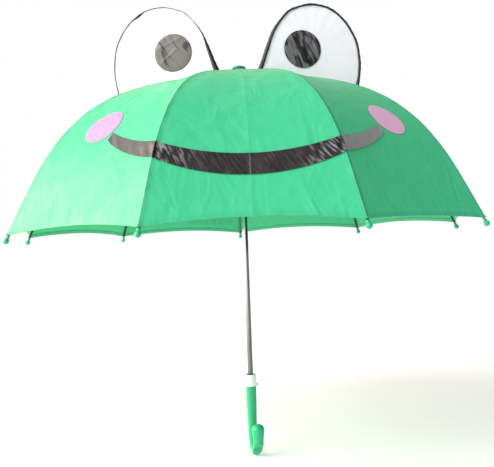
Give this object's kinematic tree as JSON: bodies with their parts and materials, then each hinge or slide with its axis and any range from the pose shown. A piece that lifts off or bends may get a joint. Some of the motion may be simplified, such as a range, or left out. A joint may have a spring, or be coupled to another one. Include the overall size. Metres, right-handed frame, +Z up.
{
  "type": "children's umbrella",
  "caption": "Child's stick umbrella with a frog-face canopy, pop-up eyes, J handle and a sliding runner that folds the ribs and stretchers together.",
  "frame": {"origin": "on the shaft's axis at the middle of the grip", "axes": "+Z up along the shaft towards the crown; the frog's face looks along -Y; +X is the viewer's right when looking at the face"},
  "size_m": [0.7271, 0.7162, 0.7111],
  "materials": {
    "cloth_black": "black satin",
    "cloth_green": "thin polyester taffeta, light sheen",
    "cloth_pink": "pink polyester",
    "cloth_white": "thin white polyester",
    "plastic_black": "matte",
    "plastic_green": "glossy",
    "plastic_white": "semi-gloss",
    "steel": "bright plated steel",
    "steel_frame": "plated spring steel"
  },
  "bodies": {
    "shaft": {"shaft_tube": "steel", "crown_notch": "plastic_black", "crown_wire": "steel_frame", "top_cap": "plastic_green", "tip_cup": "plastic_white", "handle": "plastic_green"},
    "runner": {"runner": "plastic_black", "runner_wire": "steel_frame"},
    "top_catch": {"top_catch": "steel_frame"},
    "bottom_catch": {"bottom_catch": "steel_frame"},
    "rib_arm_1": {"rib_1": "steel_frame", "rib_tip_1": "plastic_green", "canopy_panel_1": "cloth_green", "mouth_right": "cloth_black", "cheek_right": "cloth_pink"},
    "stretcher_arm_1": {"stretcher_1": "steel_frame"},
    "rib_arm_2": {"rib_2": "steel_frame", "rib_tip_2": "plastic_green", "canopy_panel_2": "cloth_green"},
    "stretcher_arm_2": {"stretcher_2": "steel_frame"},
    "rib_arm_3": {"rib_3": "steel_frame", "rib_tip_3": "plastic_green", "canopy_panel_3": "cloth_green", "eye_right_face": "cloth_white", "eye_right_back": "cloth_white", "eye_right_band": "cloth_black", "eye_right_pupil": "cloth_black"},
    "stretcher_arm_3": {"stretcher_3": "steel_frame"},
    "rib_arm_4": {"rib_4": "steel_frame", "rib_tip_4": "plastic_green", "canopy_panel_4": "cloth_green"},
    "stretcher_arm_4": {"stretcher_4": "steel_frame"},
    "rib_arm_5": {"rib_5": "steel_frame", "rib_tip_5": "plastic_green", "canopy_panel_5": "cloth_green", "tie_strap": "cloth_green"},
    "stretcher_arm_5": {"stretcher_5": "steel_frame"},
    "rib_arm_6": {"rib_6": "steel_frame", "rib_tip_6": "plastic_green", "canopy_panel_6": "cloth_green"},
    "stretcher_arm_6": {"stretcher_6": "steel_frame"},
    "rib_arm_7": {"rib_7": "steel_frame", "rib_tip_7": "plastic_green", "canopy_panel_7": "cloth_green", "eye_left_face": "cloth_white", "eye_left_back": "cloth_white", "eye_left_band": "cloth_black", "eye_left_pupil": "cloth_black"},
    "stretcher_arm_7": {"stretcher_7": "steel_frame"},
    "rib_arm_8": {"rib_8": "steel_frame", "rib_tip_8": "plastic_green", "canopy_panel_8": "cloth_green", "mouth_left": "cloth_black", "cheek_left": "cloth_pink"},
    "stretcher_arm_8": {"stretcher_8": "steel_frame"},
    "rib_arm_9": {"rib_9": "steel_frame", "rib_tip_9": "plastic_green", "canopy_panel_9": "cloth_green", "mouth_front": "cloth_black"},
    "stretcher_arm_9": {"stretcher_9": "steel_frame"}
  },
  "joints": [
    {"name": "runner_slide", "type": "slide", "parent": "shaft", "child": "runner", "axis": [0, 0, -1], "range_m": [0, 0.234]},
    {"name": "rib_hinge_1", "type": "hinge", "parent": "shaft", "child": "rib_arm_1", "pos_m": [0.00274, -0.00752, 0.54138], "axis": [0.9397, 0.342, 0], "range_deg": [-0.1, 53.83], "deforming": ["canopy_panel_1", "mouth_right", "cheek_right"]},
    {"name": "stretcher_hinge_1", "type": "hinge", "parent": "rib_arm_1", "child": "stretcher_arm_1", "pos_m": [0.06388, -0.17552, 0.48905], "axis": [-0.9397, -0.342, 0], "range_deg": [-0.1, 103.68]},
    {"name": "rib_hinge_2", "type": "hinge", "parent": "shaft", "child": "rib_arm_2", "pos_m": [0.00693, -0.004, 0.54138], "axis": [0.5, 0.866, 0], "range_deg": [-0.1, 53.83], "deforming": ["canopy_panel_2"]},
    {"name": "stretcher_hinge_2", "type": "hinge", "parent": "rib_arm_2", "child": "stretcher_arm_2", "pos_m": [0.16176, -0.09339, 0.48905], "axis": [-0.5, -0.866, 0], "range_deg": [-0.1, 103.68]},
    {"name": "rib_hinge_3", "type": "hinge", "parent": "shaft", "child": "rib_arm_3", "pos_m": [0.00788, 0.00139, 0.54138], "axis": [-0.1736, 0.9848, 0], "range_deg": [-0.1, 53.83], "deforming": ["canopy_panel_3"]},
    {"name": "stretcher_hinge_3", "type": "hinge", "parent": "rib_arm_3", "child": "stretcher_arm_3", "pos_m": [0.18395, 0.03243, 0.48905], "axis": [0.1736, -0.9848, 0], "range_deg": [-0.1, 103.68]},
    {"name": "rib_hinge_4", "type": "hinge", "parent": "shaft", "child": "rib_arm_4", "pos_m": [0.00514, 0.00613, 0.54138], "axis": [-0.766, 0.6428, 0], "range_deg": [-0.1, 53.83], "deforming": ["canopy_panel_4"]},
    {"name": "stretcher_hinge_4", "type": "hinge", "parent": "rib_arm_4", "child": "stretcher_arm_4", "pos_m": [0.12006, 0.14309, 0.48905], "axis": [0.766, -0.6428, 0], "range_deg": [-0.1, 103.68]},
    {"name": "rib_hinge_5", "type": "hinge", "parent": "shaft", "child": "rib_arm_5", "pos_m": [0, 0.008, 0.54138], "axis": [-1, 0, 0], "range_deg": [-0.1, 53.83], "deforming": ["canopy_panel_5", "tie_strap"]},
    {"name": "stretcher_hinge_5", "type": "hinge", "parent": "rib_arm_5", "child": "stretcher_arm_5", "pos_m": [0, 0.18678, 0.48905], "axis": [1, 0, 0], "range_deg": [-0.1, 103.68]},
    {"name": "rib_hinge_6", "type": "hinge", "parent": "shaft", "child": "rib_arm_6", "pos_m": [-0.00514, 0.00613, 0.54138], "axis": [-0.766, -0.6428, 0], "range_deg": [-0.1, 53.83], "deforming": ["canopy_panel_6"]},
    {"name": "stretcher_hinge_6", "type": "hinge", "parent": "rib_arm_6", "child": "stretcher_arm_6", "pos_m": [-0.12006, 0.14309, 0.48905], "axis": [0.766, 0.6428, 0], "range_deg": [-0.1, 103.68]},
    {"name": "rib_hinge_7", "type": "hinge", "parent": "shaft", "child": "rib_arm_7", "pos_m": [-0.00788, 0.00139, 0.54138], "axis": [-0.1736, -0.9848, 0], "range_deg": [-0.1, 53.83], "deforming": ["canopy_panel_7"]},
    {"name": "stretcher_hinge_7", "type": "hinge", "parent": "rib_arm_7", "child": "stretcher_arm_7", "pos_m": [-0.18395, 0.03243, 0.48905], "axis": [0.1736, 0.9848, 0], "range_deg": [-0.1, 103.68]},
    {"name": "rib_hinge_8", "type": "hinge", "parent": "shaft", "child": "rib_arm_8", "pos_m": [-0.00693, -0.004, 0.54138], "axis": [0.5, -0.866, 0], "range_deg": [-0.1, 53.83], "deforming": ["canopy_panel_8", "mouth_left", "cheek_left"]},
    {"name": "stretcher_hinge_8", "type": "hinge", "parent": "rib_arm_8", "child": "stretcher_arm_8", "pos_m": [-0.16176, -0.09339, 0.48905], "axis": [-0.5, 0.866, 0], "range_deg": [-0.1, 103.68]},
    {"name": "rib_hinge_9", "type": "hinge", "parent": "shaft", "child": "rib_arm_9", "pos_m": [-0.00274, -0.00752, 0.54138], "axis": [0.9397, -0.342, 0], "range_deg": [-0.1, 53.83], "deforming": ["canopy_panel_9", "mouth_front"]},
    {"name": "stretcher_hinge_9", "type": "hinge", "parent": "rib_arm_9", "child": "stretcher_arm_9", "pos_m": [-0.06388, -0.17552, 0.48905], "axis": [-0.9397, 0.342, 0], "range_deg": [-0.1, 103.68]},
    {"name": "top_catch_press", "type": "hinge", "parent": "shaft", "child": "top_catch", "pos_m": [0, 0.0017, 0.36631], "axis": [1, 0, 0], "range_deg": [0, 5], "stiffness_Nm_per_rad": 0.4},
    {"name": "bottom_catch_press", "type": "hinge", "parent": "shaft", "child": "bottom_catch", "pos_m": [0, 0.0017, 0.13231], "axis": [1, 0, 0], "range_deg": [0, 5], "stiffness_Nm_per_rad": 0.4}
  ],
  "couplings": [
    {"joint": "rib_hinge_1", "follows": "runner_slide", "rad_per_m": 4.0075},
    {"joint": "stretcher_hinge_1", "follows": "runner_slide", "rad_per_m": 7.7254},
    {"joint": "rib_hinge_2", "follows": "runner_slide", "rad_per_m": 4.0075},
    {"joint": "stretcher_hinge_2", "follows": "runner_slide", "rad_per_m": 7.7254},
    {"joint": "rib_hinge_3", "follows": "runner_slide", "rad_per_m": 4.0075},
    {"joint": "stretcher_hinge_3", "follows": "runner_slide", "rad_per_m": 7.7254},
    {"joint": "rib_hinge_4", "follows": "runner_slide", "rad_per_m": 4.0075},
    {"joint": "stretcher_hinge_4", "follows": "runner_slide", "rad_per_m": 7.7254},
    {"joint": "rib_hinge_5", "follows": "runner_slide", "rad_per_m": 4.0075},
    {"joint": "stretcher_hinge_5", "follows": "runner_slide", "rad_per_m": 7.7254},
    {"joint": "rib_hinge_6", "follows": "runner_slide", "rad_per_m": 4.0075},
    {"joint": "stretcher_hinge_6", "follows": "runner_slide", "rad_per_m": 7.7254},
    {"joint": "rib_hinge_7", "follows": "runner_slide", "rad_per_m": 4.0075},
    {"joint": "stretcher_hinge_7", "follows": "runner_slide", "rad_per_m": 7.7254},
    {"joint": "rib_hinge_8", "follows": "runner_slide", "rad_per_m": 4.0075},
    {"joint": "stretcher_hinge_8", "follows": "runner_slide", "rad_per_m": 7.7254},
    {"joint": "rib_hinge_9", "follows": "runner_slide", "rad_per_m": 4.0075},
    {"joint": "stretcher_hinge_9", "follows": "runner_slide", "rad_per_m": 7.7254}
  ]
}
